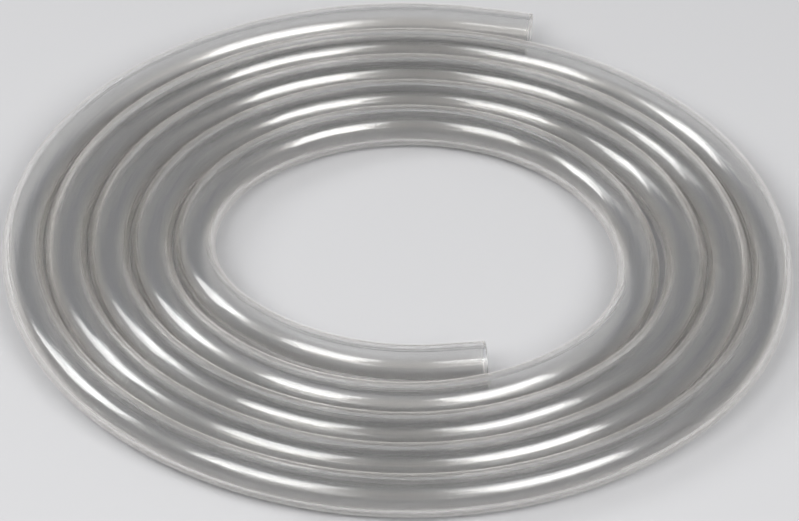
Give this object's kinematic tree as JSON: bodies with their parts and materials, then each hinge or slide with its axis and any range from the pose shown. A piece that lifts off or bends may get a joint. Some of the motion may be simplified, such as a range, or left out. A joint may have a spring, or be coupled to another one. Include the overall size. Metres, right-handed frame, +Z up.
{
  "type": "silicone tubing coil",
  "caption": "Length of clear flexible hollow tubing wound into a flat single-layer spiral, with both ends cut square and open to take barbed fittings.",
  "frame": {"origin": "under the middle of the coil, on the surface that it lies on", "axes": "+Z up out of that surface, +X across the coil to the right, the way both cut ends point, +Y to the back, where the outer end lies"},
  "size_m": [0.189, 0.183, 0.01],
  "materials": {
    "clear_silicone": "clear and glossy, slightly milky, with fine lengthwise extrusion lines"
  },
  "bodies": {
    "root": {"silicone_tubing": "clear_silicone"}
  },
  "joints": []
}
